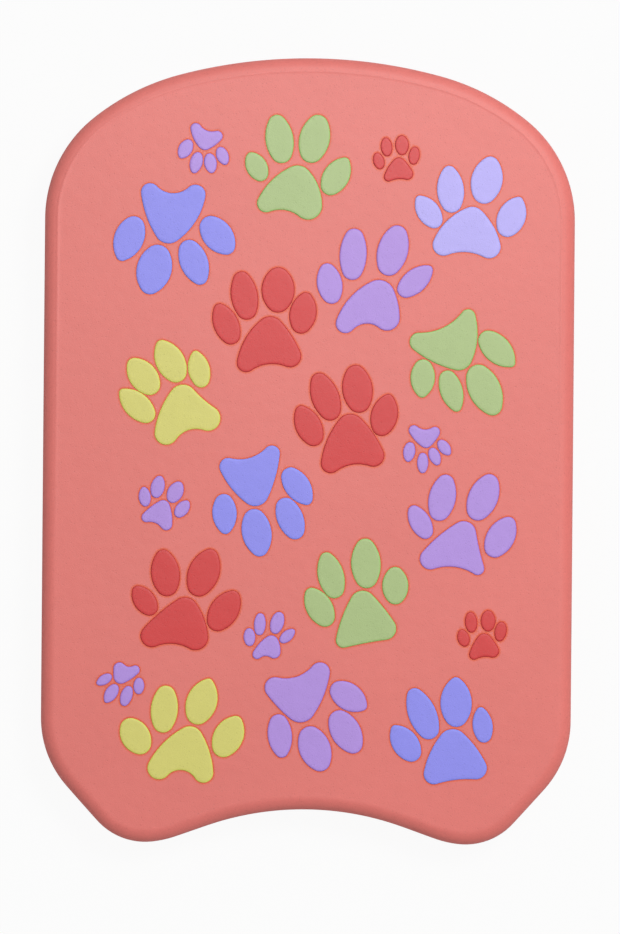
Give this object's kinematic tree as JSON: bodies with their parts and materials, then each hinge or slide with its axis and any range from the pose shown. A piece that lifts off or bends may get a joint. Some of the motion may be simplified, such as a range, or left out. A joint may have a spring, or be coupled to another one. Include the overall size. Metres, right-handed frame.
{
  "type": "swimming kickboard",
  "caption": "Flat foam swimming kickboard with a rounded nose, a shallow hollow at the tail and inlaid paw prints on its front face.",
  "frame": {"origin": "on the back face, under the middle of the board's length and width", "axes": "+Z out of the printed front face, +Y to the rounded nose, +X to the right seen from the front"},
  "size_m": [0.3038, 0.45, 0.0306],
  "materials": {
    "coral_foam": "matte closed-cell EVA foam with a fine grain",
    "red_foam": "matte closed-cell EVA foam with a fine grain",
    "green_foam": "matte closed-cell EVA foam with a fine grain",
    "blue_foam": "matte closed-cell EVA foam with a fine grain",
    "lavender_foam": "matte closed-cell EVA foam with a fine grain",
    "purple_foam": "matte closed-cell EVA foam with a fine grain",
    "yellow_foam": "matte closed-cell EVA foam with a fine grain"
  },
  "bodies": {
    "root": {"core_block": "coral_foam", "front_sheet": "coral_foam", "paw_01_purple_heel_pad": "purple_foam", "paw_01_purple_toes": "purple_foam", "paw_02_green_heel_pad": "green_foam", "paw_02_green_toes": "green_foam", "paw_03_red_heel_pad": "red_foam", "paw_03_red_toes": "red_foam", "paw_04_lavender_heel_pad": "lavender_foam", "paw_04_lavender_toes": "lavender_foam", "paw_05_blue_heel_pad": "blue_foam", "paw_05_blue_toes": "blue_foam", "paw_06_purple_heel_pad": "purple_foam", "paw_06_purple_toes": "purple_foam", "paw_07_red_heel_pad": "red_foam", "paw_07_red_toes": "red_foam", "paw_08_green_heel_pad": "green_foam", "paw_08_green_toes": "green_foam", "paw_09_yellow_heel_pad": "yellow_foam", "paw_09_yellow_toes": "yellow_foam", "paw_10_red_heel_pad": "red_foam", "paw_10_red_toes": "red_foam", "paw_11_blue_heel_pad": "blue_foam", "paw_11_blue_toes": "blue_foam", "paw_12_purple_heel_pad": "purple_foam", "paw_12_purple_toes": "purple_foam", "paw_13_purple_heel_pad": "purple_foam", "paw_13_purple_toes": "purple_foam", "paw_14_purple_heel_pad": "purple_foam", "paw_14_purple_toes": "purple_foam", "paw_15_red_heel_pad": "red_foam", "paw_15_red_toes": "red_foam", "paw_16_green_heel_pad": "green_foam", "paw_16_green_toes": "green_foam", "paw_17_purple_heel_pad": "purple_foam", "paw_17_purple_toes": "purple_foam", "paw_18_red_heel_pad": "red_foam", "paw_18_red_toes": "red_foam", "paw_19_purple_heel_pad": "purple_foam", "paw_19_purple_toes": "purple_foam", "paw_20_yellow_heel_pad": "yellow_foam", "paw_20_yellow_toes": "yellow_foam", "paw_21_purple_heel_pad": "purple_foam", "paw_21_purple_toes": "purple_foam", "paw_22_blue_heel_pad": "blue_foam", "paw_22_blue_toes": "blue_foam"}
  },
  "joints": []
}
